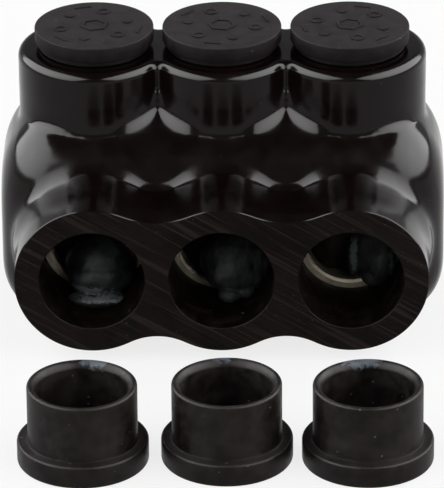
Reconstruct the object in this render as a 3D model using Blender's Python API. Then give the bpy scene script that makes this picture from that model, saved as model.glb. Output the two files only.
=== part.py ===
"""Insulated multi-tap connector: three wire ports side by side, one clamping screw over each.

The soft insulating case stands on its flat base. X runs along the row of ports, the cut face
of the port collars looks to -Y and the screw towers rise to +Z. The axes of the towers lie in
the plane Y = 0. The three stoppers of the wire ports stand on the same surface, in front.
Sizes are millimetres up to the point where a mesh is made, which is in metres.
"""
import math

import bmesh
import bpy
from mathutils import Matrix, Vector
from mathutils.bvhtree import BVHTree

for old in list(bpy.data.objects):
    bpy.data.objects.remove(old, do_unlink=True)

MM = 0.001

# The row
NAMES = ("left", "middle", "right")
PITCH = 26.0                # between neighbouring wire ports
FIT_GAP = 0.3               # clearance between pieces that touch

# The metal block that joins the wires
BORE_DIA = 18.2             # takes one wire
BORE_WALL = 4.2             # metal beside, below and behind a bore
THREAD_DEPTH = 9.4          # metal above a bore, tapped for the clamping screw
BLOCK_DEPTH = 31.6          # front face to back face
SCREW_SETBACK = 17.9        # front face of the block to the screws' axes
BLOCK_EDGE = 2.2            # chamfer along the block's outer edges
DRILL_POINT = 118.0         # degrees, at the end of a blind bore

# The clamping screws
SCREW_DIA = 19.0
SCREW_LENGTH = 14.2
SCREW_TIP = 1.4             # chamfer of the pressing end
HEX_FLATS = 7.94            # across the flats of the socket
HEX_DEPTH = 7.6

# The insulating case
BASE_WALL = 4.7             # under the block
ROOF_WALL = 5.7             # over the block, where the towers stand
END_WALL = 5.9              # beyond the block's ends
BACK_WALL = 3.2
FRONT_WALL = 2.8            # in front of the block, where no collar is
SHOULDER_ROUND = 12.0       # long upper edges
SKIRT_ROUND = 7.5           # long lower edges
END_ROUND = 10.0            # rounding of the ends, below and at the sides
END_SLOPE = 14.0            # how far the roof comes down at the ends
PORT_DIA = 21.2             # passage through a collar
COLLAR_WALL = 4.9
COLLAR_REACH = 18.6         # cut face to the front face of the block
VALLEY_ROUND = 17.0         # hollow between two neighbouring collars, above
CROTCH_ROUND = 12.0         # the same below
ROOT_ROUND = 4.5            # flare where the collars grow out of the case
WELL_DIA = 21.8             # passage down a tower
TOWER_WALL = 4.5
TOWER_HEIGHT = 11.4         # from the case's top to the tower's rim
RIM_ROUND = 1.3
TOWER_CREASE = 1.2          # hollow between two neighbouring towers
FOOT_ROUND = 2.4            # flare at a tower's foot

# The screw caps
CAP_DIA = 24.2
CAP_THICK = 3.05
CAP_NECK = 1.1              # waist that carries the cap clear of the rim
CAP_STEM = 6.8              # how deep it sits in the tower
CAP_SHELL = 1.7
CAP_EDGE = 0.25

# The port stoppers
STOPPER_HEIGHT = 15.8
STOPPER_SQUEEZE = 0.15      # how much wider than the passage that it is pushed into
STOPPER_WALL = 1.35
STOPPER_FLANGE = 2.1        # how far the flange stands out
STOPPER_FLANGE_THICK = 4.2
STOPPER_FLOOR = 2.4
STOPPER_LIP = 0.7
STOPPER_GAP = 28.4          # between the cut face and the stoppers' flanges

SIDES = 44                  # facets round a full turn

# What follows from them
bore_r = BORE_DIA / 2
port_r = PORT_DIA / 2
well_r = WELL_DIA / 2
screw_r = SCREW_DIA / 2
collar_r = port_r + COLLAR_WALL
tower_r = well_r + TOWER_WALL
axis_z = max(BASE_WALL + BORE_WALL + bore_r, collar_r + 1.0)
block_z0 = axis_z - bore_r - BORE_WALL
block_z1 = axis_z + bore_r + THREAD_DEPTH
block_y0 = -SCREW_SETBACK
block_y1 = block_y0 + BLOCK_DEPTH
block_x = PITCH + bore_r + BORE_WALL
case_x = max(block_x + END_WALL, PITCH + collar_r + 2.5)
case_y0 = block_y0 - FRONT_WALL
case_y1 = max(block_y1 + BACK_WALL, tower_r + 1.2)
case_z1 = block_z1 + ROOF_WALL
face_y = block_y0 - COLLAR_REACH
rim_z = case_z1 + TOWER_HEIGHT
centres = [(-PITCH, NAMES[0]), (0.0, NAMES[1]), (PITCH, NAMES[2])]


def finish(ob, colour, rough, metal=0.0):
    mat = bpy.data.materials.new(ob.name + "_surface")
    mat.use_nodes = True
    shader = mat.node_tree.nodes["Principled BSDF"]
    shader.inputs["Base Color"].default_value = (*colour, 1.0)
    shader.inputs["Roughness"].default_value = rough
    shader.inputs["Metallic"].default_value = metal
    ob.data.materials.clear()
    ob.data.materials.append(mat)
    return ob


def body_from(bm, name):
    """Turns a mesh under work into an object, in metres, with its faces looking outwards."""
    bmesh.ops.remove_doubles(bm, verts=bm.verts, dist=1e-4)
    bmesh.ops.recalc_face_normals(bm, faces=bm.faces)
    bmesh.ops.scale(bm, vec=(MM, MM, MM), verts=bm.verts)
    mesh = bpy.data.meshes.new(name)
    bm.to_mesh(mesh)
    bm.free()
    ob = bpy.data.objects.new(name, mesh)
    bpy.context.collection.objects.link(ob)
    return ob


def turned(name, profile, x=0.0, y=0.0, z=0.0, sides=SIDES):
    """Spins an outline of (radius, height) round its own upright axis, at the given place."""
    bm = bmesh.new()
    verts = [bm.verts.new((r, 0.0, h)) for r, h in profile]
    edges = [bm.edges.new((a, b)) for a, b in zip(verts, verts[1:])]
    if profile[0][0] > 1e-6:
        edges.append(bm.edges.new((verts[-1], verts[0])))
    bmesh.ops.spin(bm, geom=verts + edges, cent=(0, 0, 0), axis=(0, 0, 1), dvec=(0, 0, 0),
                   angle=2 * math.pi, steps=sides, use_merge=True)
    bmesh.ops.remove_doubles(bm, verts=bm.verts, dist=1e-4)
    ob = body_from(bm, name)
    ob.location = (x * MM, y * MM, z * MM)
    return ob


def lofted(name, rings, caps=True):
    """Bridges closed rings of points, each with the same count, and closes both ends."""
    bm = bmesh.new()
    loops = [[bm.verts.new(p) for p in ring] for ring in rings]
    for low, high in zip(loops, loops[1:]):
        for i in range(len(low)):
            j = (i + 1) % len(low)
            bm.faces.new((low[i], low[j], high[j], high[i]))
    if caps:
        bm.faces.new(loops[0])
        bm.faces.new(loops[-1])
    return body_from(bm, name)


def arc(cx, cy, r, a0, a1, steps):
    """Points of an arc from angle a0 to a1, in degrees."""
    out = []
    for i in range(steps + 1):
        a = math.radians(a0 + (a1 - a0) * i / steps)
        out.append((cx + r * math.cos(a), cy + r * math.sin(a)))
    return out


def combine(target, other, how):
    """Joins, or cuts away, another solid and drops it."""
    mod = target.modifiers.new(how.lower(), "BOOLEAN")
    mod.operation = how
    mod.solver = "EXACT"
    mod.object = other
    bpy.context.view_layer.objects.active = target
    bpy.ops.object.modifier_apply(modifier=mod.name)
    bpy.data.objects.remove(other, do_unlink=True)


def case_body():
    """The case without its collars and towers: rounded sections, drawn in towards the ends."""
    def section(inset, lower):
        y0, y1 = case_y0 + inset, case_y1 - inset
        z0, z1 = inset, case_z1 - lower
        room = min(y1 - y0, z1 - z0) / 2 - 0.2
        top = min(max(SHOULDER_ROUND - inset, 2.0), room)
        low = min(max(SKIRT_ROUND - inset, 1.6), room)
        return (arc(y1 - top, z1 - top, top, 0, 90, 5) + arc(y0 + top, z1 - top, top, 90, 180, 7)
                + arc(y0 + low, z0 + low, low, 180, 270, 4) + arc(y1 - low, z0 + low, low, 270, 360, 4))
    def rounded(share):
        return 1 - math.sqrt(1 - share * share)
    steps = 8
    first = 0.16                # share of its full curve with which the roof begins to come down
    ends = []
    for side in (-1, 1):
        part = []
        for i in range(steps + 1):
            along = math.sin(math.radians(90 * i / steps))
            x = case_x - END_ROUND * (1 - along)
            inset = 0.93 * END_ROUND * rounded(along)
            lower = END_SLOPE * (rounded(first + (1 - first) * along) - rounded(first) * (1 - along))
            part.append([(side * x, y, z) for y, z in section(inset, lower)])
        ends.append(part)
    return lofted("case_body", ends[0][::-1] + ends[1])


def row_outline(r, above, below, per_arc=13):
    """Outline round a row of circles, with a hollow of its own above and below where two meet."""
    half = PITCH / 2
    last = len(centres) - 1

    def upper_half(hollow):
        rise = math.sqrt((r + hollow) ** 2 - half ** 2)
        turn = math.degrees(math.atan2(rise, half))
        points = []
        for k in range(last, -1, -1):
            x = centres[k][0]
            a0 = 0.0 if k == last else turn
            a1 = 180.0 if k == 0 else 180.0 - turn
            points += arc(x, 0.0, r, a0, a1, per_arc if k in (0, last) else per_arc - 4)
            if k:
                points += arc(x - half, rise, hollow, -turn, -180.0 + turn, 8)[1:-1]
        return points
    return upper_half(above) + [(x, -y) for x, y in upper_half(below)[::-1][1:-1]]


def grown(name, outline, axis, far, crown, fillet, hollow):
    """A boss that grows out of the case, with a flare where it meets the case all round.

    The outline is a list of (foot point, outward direction), the crown is how the far end
    is rounded, as (drawn in, back from the end).
    """
    axis = Vector(axis)

    def on_skin(p):
        return skin.ray_cast(p + axis * (far - p.dot(axis)), -axis)[0]
    rings = [[p + axis * (far - back) - out * inset for p, out in outline] for inset, back in crown]
    steps = 4
    root = [[] for _ in range(steps + 3)]
    for p, out in outline:
        foot = on_skin(p)
        # two neighbours share a hollow, where the flare gets smaller
        to_middle = (PITCH / 2 - abs(p.x)) * math.copysign(1.0, p.x * out.x)
        reach = to_middle / abs(out.x) if abs(out.x) > 0.02 else hollow
        wide = min(fillet, 0.8 * max(reach, 0.4)) if reach > -0.01 else fillet
        # and it gets smaller where the case falls away from the boss
        ahead = on_skin(p + out * 0.5)
        fall = max(0.0, (foot - ahead).dot(axis) / 0.5) if ahead else 2.0
        wide *= 1 - 0.6 * fall / math.hypot(1.0, fall)
        edge = on_skin(p + out * wide)
        while edge is None:
            wide *= 0.7
            edge = on_skin(p + out * wide)
        wall = foot + axis * wide
        for i in range(steps + 1):
            t = i / steps
            root[i].append(wall * (1 - t) ** 2 + foot * (2 * t * (1 - t)) + edge * t ** 2 - axis * (0.05 * t ** 4))
        root[steps + 1].append(edge - out * (0.3 * wide) - axis * 1.2)
        root[steps + 2].append(foot - out * 1.0 - axis * 3.0)
    return lofted(name, rings + root)


def facing(points):
    """Outward directions in a plane, for the points of a closed outline."""
    out = []
    for i, p in enumerate(points):
        x, y = (points[(i + 1) % len(points)][k] - points[i - 1][k] for k in (0, 1))
        out.append((y / math.hypot(x, y), -x / math.hypot(x, y)))
    return out


def collar_row():
    """The row of collars, cut off square in front."""
    flat = row_outline(collar_r, VALLEY_ROUND, CROTCH_ROUND)
    outline = [(Vector((x, 0.0, axis_z + z)), Vector((a, 0.0, b))) for (x, z), (a, b) in zip(flat, facing(flat))]
    return grown("collar_row", outline, (0, -1, 0), -face_y, [(0.0, 0.0)], ROOT_ROUND,
                 min(VALLEY_ROUND, CROTCH_ROUND))


def tower_row():
    """The row of screw towers, with rounded rims."""
    flat = row_outline(tower_r, TOWER_CREASE, TOWER_CREASE, 15)
    outline = [(Vector((x, y, 0.0)), Vector((a, b, 0.0))) for (x, y), (a, b) in zip(flat, facing(flat))]
    crown = [(RIM_ROUND - r, RIM_ROUND - h) for r, h in arc(0, 0, RIM_ROUND, 90, 0, 4)]
    return grown("tower_row", outline, (0, 0, 1), rim_z, crown, FOOT_ROUND, TOWER_CREASE)


def rod(radius, start, end, sides=SIDES):
    """A plain round solid between two points, used to join or to cut."""
    a, b = Vector(start), Vector(end)
    bm = bmesh.new()
    bmesh.ops.create_cone(bm, cap_ends=True, segments=sides, radius1=radius, radius2=radius,
                          depth=(b - a).length)
    turn = (b - a).to_track_quat("Z", "Y").to_matrix().to_4x4()
    bmesh.ops.transform(bm, matrix=Matrix.Translation((a + b) / 2) @ turn, verts=bm.verts)
    return body_from(bm, "rod")


def chest(x, y0, y1, z0, z1, edge):
    """A box with chamfered edges, centred on X = 0."""
    bm = bmesh.new()
    bmesh.ops.create_cube(bm, size=1.0)
    bmesh.ops.transform(bm, matrix=Matrix.Translation((0, (y0 + y1) / 2, (z0 + z1) / 2))
                        @ Matrix.Diagonal((2 * x, y1 - y0, z1 - z0, 1)), verts=bm.verts)
    bmesh.ops.bevel(bm, geom=bm.edges, offset=edge, segments=1, affect="EDGES")
    return body_from(bm, "chest")


# The insulating case: one soft moulding round the block, open at the ports and the towers
case = case_body()
case.name = "insulating_boot"
shell = bmesh.new()
shell.from_mesh(case.data)
bmesh.ops.scale(shell, vec=(1 / MM, 1 / MM, 1 / MM), verts=shell.verts)
skin = BVHTree.FromBMesh(shell)
shell.free()
combine(case, collar_row(), "UNION")
combine(case, tower_row(), "UNION")
combine(case, chest(block_x + FIT_GAP, block_y0 - FIT_GAP, block_y1 + FIT_GAP, block_z0 - FIT_GAP,
                    block_z1 + FIT_GAP, BLOCK_EDGE), "DIFFERENCE")
for x, _ in centres:
    combine(case, rod(port_r, (x, face_y - 4, axis_z), (x, block_y0 + 1.5, axis_z)), "DIFFERENCE")
    combine(case, rod(well_r, (x, 0, block_z1 - 1.5), (x, 0, rim_z + 4)), "DIFFERENCE")
finish(case, (0.012, 0.012, 0.013), 0.28)

# The block: blind bores from the front, each met by a tapped hole from above
block = chest(block_x, block_y0, block_y1, block_z0, block_z1, BLOCK_EDGE)
block.name = "connector_block"
for x, _ in centres:
    end = block_y1 - BORE_WALL
    tip = bore_r / math.tan(math.radians(DRILL_POINT / 2))
    drill = turned("drill", [(0.0, 0.0), (bore_r, tip), (bore_r, end - block_y0 + 2.0),
                             (0.0, end - block_y0 + 2.0)])
    drill.data.transform(Matrix.Translation((x * MM, end * MM, axis_z * MM))
                         @ Matrix.Rotation(math.radians(90), 4, "X"))
    combine(block, drill, "DIFFERENCE")
    combine(block, rod(screw_r + FIT_GAP, (x, 0, axis_z), (x, 0, block_z1 + 3)), "DIFFERENCE")
finish(block, (0.78, 0.74, 0.66), 0.38, 1.0)

# The clamping screws, backed out so that their ends lie just over the bores
for x, label in centres:
    z0 = axis_z + bore_r + FIT_GAP
    z1 = z0 + SCREW_LENGTH
    screw = turned("set_screw_" + label,
                   [(0.0, 0.0), (screw_r - SCREW_TIP, 0.0), (screw_r, SCREW_TIP),
                    (screw_r, SCREW_LENGTH - 0.8), (screw_r - 0.8, SCREW_LENGTH), (0.0, SCREW_LENGTH)],
                   x, 0.0, z0, 48)
    socket = rod(HEX_FLATS / math.sqrt(3), (x, 0, z1 - HEX_DEPTH), (x, 0, z1 + 2.0), 6)
    combine(screw, socket, "DIFFERENCE")
    finish(screw, (0.62, 0.62, 0.60), 0.34, 1.0)

# The screw caps: a disc on a waist, with a hollow stem that closes the tower
cap_r = CAP_DIA / 2
stem_r = well_r - FIT_GAP
for x, label in centres:
    top = CAP_NECK + CAP_THICK
    neck_r = min(well_r + 0.35, cap_r - 0.6)
    hollow = stem_r - CAP_SHELL
    cap = turned("screw_cap_" + label,
                 [(0.0, -0.6), (hollow, -0.6), (hollow, -CAP_STEM), (stem_r - 0.6, -CAP_STEM),
                  (stem_r, 0.6 - CAP_STEM), (stem_r, 0.0), (neck_r, 0.0), (neck_r, CAP_NECK),
                  (cap_r - 0.35, CAP_NECK), (cap_r, CAP_NECK + 0.35), (cap_r, top - CAP_EDGE),
                  (cap_r - CAP_EDGE, top), (0.0, top)], x, 0.0, rim_z + FIT_GAP)
    finish(cap, (0.034, 0.033, 0.035), 0.62)

# The port stoppers: cups with a thick flange, standing on it with the open end up
tube_r = port_r + STOPPER_SQUEEZE
flange_r = tube_r + STOPPER_FLANGE
cup_r = tube_r - STOPPER_WALL
stopper_y = face_y - STOPPER_GAP - flange_r
for (x, label), (dx, dy) in zip(centres, ((-0.6, 0.0), (1.45, 0.7), (2.85, 0.0))):
    outer = [(0.0, 0.0), (flange_r - 0.7, 0.0), (flange_r, 0.7), (flange_r, STOPPER_FLANGE_THICK - 0.5),
             (flange_r - 0.5, STOPPER_FLANGE_THICK), (tube_r, STOPPER_FLANGE_THICK)]
    lip = arc(tube_r - STOPPER_LIP, STOPPER_HEIGHT - STOPPER_LIP, STOPPER_LIP, 0, 90, 3)
    inner = [(cup_r + 0.25, STOPPER_HEIGHT), (cup_r, STOPPER_HEIGHT - 0.7), (cup_r, STOPPER_FLOOR),
             (0.0, STOPPER_FLOOR)]
    plug = turned("port_plug_" + label, outer + lip + inner, x + dx, stopper_y + dy)
    finish(plug, (0.022, 0.022, 0.023), 0.5)
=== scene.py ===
"""Insulated multi-tap connector: the finished pieces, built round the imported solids.

X runs along the row of wire ports, the cut face of the collars looks to -Y, the screw towers
rise to +Z and the case stands on Z = 0. Sizes are written in millimetres; MM makes them metres.
"""
import math

import bmesh
import bpy
from mathutils import Matrix, Vector


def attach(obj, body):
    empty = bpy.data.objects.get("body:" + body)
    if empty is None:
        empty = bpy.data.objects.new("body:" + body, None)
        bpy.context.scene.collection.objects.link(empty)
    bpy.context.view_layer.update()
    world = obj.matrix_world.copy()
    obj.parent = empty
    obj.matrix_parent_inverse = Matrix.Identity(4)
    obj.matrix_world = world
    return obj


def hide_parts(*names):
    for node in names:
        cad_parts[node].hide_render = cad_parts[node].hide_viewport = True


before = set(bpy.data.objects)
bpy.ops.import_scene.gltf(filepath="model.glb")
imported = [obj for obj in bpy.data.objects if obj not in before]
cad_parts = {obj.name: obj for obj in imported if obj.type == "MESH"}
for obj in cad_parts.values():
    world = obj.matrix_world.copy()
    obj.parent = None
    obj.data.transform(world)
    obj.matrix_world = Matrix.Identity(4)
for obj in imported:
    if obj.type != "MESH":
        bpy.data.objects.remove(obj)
bpy.ops.object.select_all(action="DESELECT")
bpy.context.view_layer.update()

MM = 0.001
SIDES = ("left", "middle", "right")
TURNS = (14, 101, 47)       # degrees, so that the three of a kind don't look alike
TOUCH = 0.1                 # what lies within this much of a place is taken to be there
FACING = 0.99               # how squarely a chosen face has to look along an axis
WELD = 0.004                # points closer than this become one
CUT_NEAR = 0.0005           # points closer than this to a cutting plane count as on it

# The row of ports and towers
PITCH = 26.0
PORT_X = (-PITCH, 0.0, PITCH)
VALLEY_X = (-PITCH / 2, PITCH / 2)
AXIS_Z = 18.0               # height of the wires
FACE_Y = -36.5              # where the collars are cut off
FACE_NICK = 0.16            # how much the cut face's outer edge is broken
PORT_R = 10.6
PORT_END_Y = -16.0          # the wire passages end inside the block's hollow
PORT_MOUTH = 0.15           # how much a passage widens at the cut face
COLLAR_R = 15.5
VALLEY_R = 17.0             # hollow between two collars, above
CROTCH_R = 12.0             # and below
WEB = ((-6.8, -13.7), (6.8, 14.25))     # what joins two collars, from its middle, across and up
FLARE_RISE = 1.0            # the collars widen by this much
FLARE_RUN = 8.5             # over this stretch before the case
FLARE_Y, FLARE_LENGTH = -14.0, 15.0     # the widened ring starts inside the case
TOWER_R = 15.4
WELL_R = 10.9
WELL_END_Z = 34.0           # the screw wells end inside the block's hollow
RIM_Z = 53.6
RIM_ROUND = 1.7

# The case behind them
CASE = ((-45.2, -20.7, 0.0), (45.2, 16.9, 42.2))
SHOULDER_R = 12.0
SKIRT_R = 7.5
END_RUN = 12.0              # how far in from each end the case begins to round off
END_DROP = 14.0             # how far its roof comes down there
END_ROUND_RUN = 10.0        # over the last stretch floor and sides draw in too,
END_ROUND = 9.3             # by this much

# How the moulding is softened
SWELL = 0.16                # softening draws a round boss in by this much
SPARE = 4.0                 # rough length beyond the cuts
FOOT_Y, FOOT_TOP = (-25.5, -16.0), 38.5         # the collars' feet
BACK_AT = (FACE_Y + 16.0, AXIS_Z + COLLAR_R)    # where their backs meet the shoulder, in Y and Z
BACK_HALF = 30.0            # half the width of the three backs
CREASE_Y, CREASE_Z, CREASE_REACH = 10.0, 41.0, 9.5      # ends of the creases between the towers
CREASE_BAND = (36.5, 48.0)
TOWER_FOOT_BAND, TOWER_FOOT_R = (40.7, 46.0), 18.5

# The metal block
BLOCK = ((-39.3, -17.9, 4.7), (39.3, 13.7, 36.5))
BLOCK_EDGE = 2.2
BLOCK_GAP = 0.3
BORE_R = 9.1
BORE_END_Y = 9.5
BORE_LEAD = 0.5             # flare that breaks the bore's front edge
DRILL_POINT = 118.0         # degrees
THREAD_R = 9.8
THREAD_PITCH = 1.5

# The screws
SCREW_Z = 27.4
SCREW_LENGTH = 14.2
SCREW_R = 9.5
HEX_WIDE, HEX_DEEP, HEX_LEAD = 7.94, 7.6, 0.45  # the socket for a 5/16 inch key

# The caps and the stoppers, which stand in front
CAP_Z = RIM_Z + 0.3
CAP_R, CAP_TOP = 12.1, 4.15
STOPPER_AT = ((-26.6, -77.75), (1.45, -77.05), (28.85, -77.75))
STOPPER_R, STOPPER_CUP_R, STOPPER_TOP = 10.75, 9.4, 16.3
FLANGE_R, FLANGE_TOP = 12.85, 4.65


# Working by hand

def in_metres(point):
    return [c * MM for c in point]


def only(*pieces):
    bpy.ops.object.select_all(action="DESELECT")
    for piece in pieces:
        piece.select_set(True)
    bpy.context.view_layer.objects.active = pieces[0]


def bake_place(piece):
    """Puts the piece's place, turn and scale into its mesh."""
    only(piece)
    bpy.ops.object.transform_apply(location=True, rotation=True, scale=True)
    return piece


def apply_modifiers(piece):
    only(piece)
    for modifier in list(piece.modifiers):
        bpy.ops.object.modifier_apply(modifier=modifier.name)


def open_mesh(piece, kind="VERT"):
    """Edit mode with nothing selected."""
    only(piece)
    bpy.ops.object.mode_set(mode="EDIT")
    bpy.ops.mesh.select_mode(type=kind)
    bpy.ops.mesh.select_all(action="DESELECT")


def close_mesh():
    bpy.ops.object.mode_set(mode="OBJECT")


def choose(piece, kind, test):
    """In edit mode, selects the vertices, edges or faces whose middle, in millimetres, passes."""
    bpy.ops.mesh.select_mode(type={"verts": "VERT", "edges": "EDGE", "faces": "FACE"}[kind])
    bpy.ops.mesh.select_all(action="DESELECT")
    mesh = bmesh.from_edit_mesh(piece.data)
    mesh.normal_update()
    for item in getattr(mesh, kind):
        if kind == "verts":
            middle = item.co / MM
        elif kind == "edges":
            middle = (item.verts[0].co + item.verts[1].co) / 2 / MM
        else:
            middle = item.calc_center_median() / MM
        if test(middle, item):
            item.select_set(True)
    mesh.select_flush_mode()
    bmesh.update_edit_mesh(piece.data)


def push_out(x, y, z):
    """In edit mode, extrudes what is selected by a shift in millimetres."""
    bpy.ops.mesh.extrude_region_move(TRANSFORM_OT_translate={"value": (x * MM, y * MM, z * MM)})


def box(name, low, high):
    bpy.ops.mesh.primitive_cube_add(size=1, location=[(a + b) / 2 * MM for a, b in zip(low, high)])
    piece = bpy.context.object
    piece.name = name
    piece.scale = [(b - a) * MM for a, b in zip(low, high)]
    return bake_place(piece)


def chamfered_box(name, low, high):
    """A box with the edges of the metal block."""
    piece = box(name, low, high)
    open_mesh(piece, "EDGE")
    bpy.ops.mesh.select_all(action="SELECT")
    bpy.ops.mesh.bevel(offset=BLOCK_EDGE * MM, segments=1)
    close_mesh()
    return piece


def rod(name, radius, start, end, facets=128):
    start, end = Vector(start), Vector(end)
    bpy.ops.mesh.primitive_cylinder_add(
        vertices=facets, radius=radius * MM, depth=(end - start).length * MM,
        location=(start + end) / 2 * MM, rotation=(end - start).to_track_quat("Z", "Y").to_euler())
    piece = bpy.context.object
    piece.name = name
    return bake_place(piece)


def combine(piece, other, how="DIFFERENCE"):
    modifier = piece.modifiers.new(how.lower(), "BOOLEAN")
    modifier.operation = how
    modifier.solver = "EXACT"
    modifier.object = other
    apply_modifiers(piece)
    bpy.data.objects.remove(other, do_unlink=True)


def join(name, pieces):
    only(*pieces)
    bpy.ops.object.join()
    piece = bpy.context.object
    piece.name = name
    return piece


def turned(name, outline, centre=(0.0, 0.0, 0.0), steps=96):
    """Draws an outline of (radius, height) point by point and spins it round an upright axis."""
    cx, cy, cz = centre
    bpy.ops.mesh.primitive_plane_add(size=MM, location=(0, 0, 0))
    piece = bpy.context.object
    piece.name = name
    open_mesh(piece)
    bpy.ops.mesh.select_all(action="SELECT")
    bpy.ops.mesh.merge(type="CENTER")
    r, h = outline[0]
    bpy.ops.transform.translate(value=((cx + r) * MM, cy * MM, (cz + h) * MM))
    for r1, h1 in outline[1:]:
        step = ((r1 - r) * MM, 0, (h1 - h) * MM)
        bpy.ops.mesh.extrude_vertices_move(TRANSFORM_OT_translate={"value": step})
        r, h = r1, h1
    bpy.ops.mesh.select_all(action="SELECT")
    bpy.ops.mesh.spin(steps=steps, angle=2 * math.pi, center=(cx * MM, cy * MM, 0), axis=(0, 0, 1))
    bpy.ops.mesh.select_all(action="SELECT")
    bpy.ops.mesh.remove_doubles(threshold=WELD * MM)
    bpy.ops.mesh.normals_make_consistent(inside=False)
    close_mesh()
    return piece


def copied(piece, name, shift, turn):
    """A copy with its own mesh, turned by some degrees where it stands and moved."""
    only(piece)
    bpy.ops.object.duplicate(linked=False)
    twin = bpy.context.object
    twin.name = name
    open_mesh(twin)
    bpy.ops.mesh.select_all(action="SELECT")
    bpy.ops.transform.rotate(value=math.radians(turn), orient_axis="Z", center_override=(0, 0, 0))
    bpy.ops.transform.translate(value=in_metres(shift))
    close_mesh()
    return twin


def smooth(piece, angle=35.0):
    """Shades smoothly over all edges that turn by less than this many degrees."""
    only(piece)
    bpy.ops.object.shade_smooth_by_angle(angle=math.radians(angle))
    return piece


def quarter(radius, steps):
    """Points of a quarter round, as (cosine, sine) times the radius."""
    turns = [math.radians(90 * i / steps) for i in range(steps + 1)]
    return [(radius * math.cos(a), radius * math.sin(a)) for a in turns]


def rounded(radius, top, corner, steps):
    """The outline of an outer edge, rounded, as (radius, height) points from below to the top."""
    return [(radius - corner + c, top - corner + s) for c, s in quarter(corner, steps)]


def put(piece, body, slot, materials, *nodes):
    """Gives a finished piece its materials and its body, and hides the solids that it stands for."""
    for material in materials:
        piece.data.materials.append(material)
    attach(piece, body)
    if nodes:
        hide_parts(*nodes)
    return piece


# The soft case

def case_block():
    """The body of the case: a long box with rounded long edges and ends that slope off."""
    (x0, y0, z0), (x1, y1, z1) = CASE
    case = box("case", (x0 + END_RUN, y0, z0), (x1 - END_RUN, y1, z1))
    open_mesh(case, "EDGE")
    choose(case, "edges", lambda c, e: abs(c.x) < TOUCH and c.z > z1 / 2)
    bpy.ops.mesh.bevel(offset=SHOULDER_R * MM, segments=10)
    choose(case, "edges",
           lambda c, e: abs(c.x) < TOUCH and c.z < TOUCH and min(abs(c.y - y0), abs(c.y - y1)) < TOUCH)
    bpy.ops.mesh.bevel(offset=SKIRT_R * MM, segments=7)
    steps, middle = 8, (y0 + y1) / 2
    for side in (-1, 1):
        choose(case, "faces", lambda c, f: f.normal.x * side > FACING)
        x, low, high, wide = x1 - END_RUN, z0, z1, y1 - y0
        for i in range(1, steps + 1):
            along = math.sin(math.radians(90 * i / steps))
            here = x1 - END_RUN * (1 - along)
            near = max(0.0, 1 - END_RUN * (1 - along) / END_ROUND_RUN)
            inset = END_ROUND * (1 - math.sqrt(1 - near * near))
            new_low = z0 + inset
            new_high = z1 - END_DROP * (1 - math.sqrt(1 - along * along))
            new_wide = y1 - y0 - 2 * inset
            push_out(side * (here - x), 0, 0)
            bpy.ops.transform.resize(value=(1, new_wide / wide, (new_high - new_low) / (high - low)),
                                     center_override=(side * here * MM, middle * MM, low * MM))
            bpy.ops.transform.translate(value=(0, 0, (new_low - low) * MM))
            x, low, high, wide = here, new_low, new_high, new_wide
    close_mesh()
    return case


def collar_flare(x):
    """A ring round one collar, which widens over the last stretch before the case."""
    steps = 10
    outline = [(0.0, 0.0), (COLLAR_R + SWELL + FLARE_RISE, 0.0)]
    for i in range(steps + 1):
        left = 1 - i / steps
        outline.append((COLLAR_R + SWELL + FLARE_RISE * left ** 2, FLARE_LENGTH - FLARE_RUN * left))
    outline.append((0.0, FLARE_LENGTH))
    ring = turned("flare", outline, steps=128)
    ring.rotation_euler = (math.radians(90), 0, 0)
    ring.location = (x * MM, FLARE_Y * MM, AXIS_Z * MM)
    return bake_place(ring)


def collar_web(x):
    """What joins two collars, hollowed by a round above and one below."""
    (left, low), (right, high) = WEB
    web_end, front, back = -10, -60, 0      # the rounds run out of the web at both ends
    web = box("web", (x + left, FACE_Y - SPARE, AXIS_Z + low), (x + right, web_end, AXIS_Z + high))
    for hollow_r, way in ((VALLEY_R, 1), (CROTCH_R, -1)):
        z = AXIS_Z + way * math.sqrt((COLLAR_R + hollow_r) ** 2 - (PITCH / 2) ** 2)
        combine(web, rod("hollow", hollow_r - SWELL, (x, front, z), (x, back, z), 160))
    return web


def rough_boot():
    """Case, towers, collars and webs as one mesh, softened all over."""
    tower_start, collar_start = 20, -8
    pieces = [case_block()]
    for x in PORT_X:
        pieces.append(rod("tower", TOWER_R + SWELL, (x, 0, tower_start), (x, 0, RIM_Z + SPARE)))
        pieces.append(rod("collar", COLLAR_R + SWELL, (x, collar_start, AXIS_Z), (x, FACE_Y - SPARE, AXIS_Z)))
        pieces.append(collar_flare(x))
    for x in VALLEY_X:
        pieces.append(collar_web(x))
    boot = join("boot_moulding", pieces)
    boot.data.remesh_voxel_size = 0.52 * MM
    bpy.ops.object.voxel_remesh()
    soften = boot.modifiers.new("soften", "SMOOTH")
    soften.factor = 0.5
    soften.iterations = 30
    apply_modifiers(boot)
    return boot


def relax(boot, test, full):
    choose(boot, "verts", lambda c, v: test(c))
    bpy.ops.mesh.vertices_smooth(factor=0.5, repeat=full)


def blend_roots(boot):
    """Lets collars and towers grow out of the case."""
    open_mesh(boot)
    relax(boot, lambda c: FOOT_Y[0] < c.y < FOOT_Y[1] and c.z < FOOT_TOP, 10)
    # widest on top, where a collar's back runs up into the shoulder
    back = Vector(BACK_AT)
    for reach, quick, full in ((5.0, 3, 9), (7.5, 1, 4)):
        relax(boot, lambda c: (Vector((c.y, c.z)) - back).length < reach and abs(c.x) < BACK_HALF + reach,
              full)
    # the creases between the towers run out wide at the foot
    creases = [Vector((x, y, CREASE_Z)) for x in VALLEY_X for y in (-CREASE_Y, CREASE_Y)]
    low, high = CREASE_BAND
    relax(boot, lambda c: low < c.z < high and min((c - p).length for p in creases) < CREASE_REACH, 75)
    bottom, top = TOWER_FOOT_BAND
    relax(boot, lambda c: bottom < c.z < top
          and min(math.hypot(c.x - x, c.y) for x in PORT_X) < TOWER_FOOT_R, 18)
    close_mesh()


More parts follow.
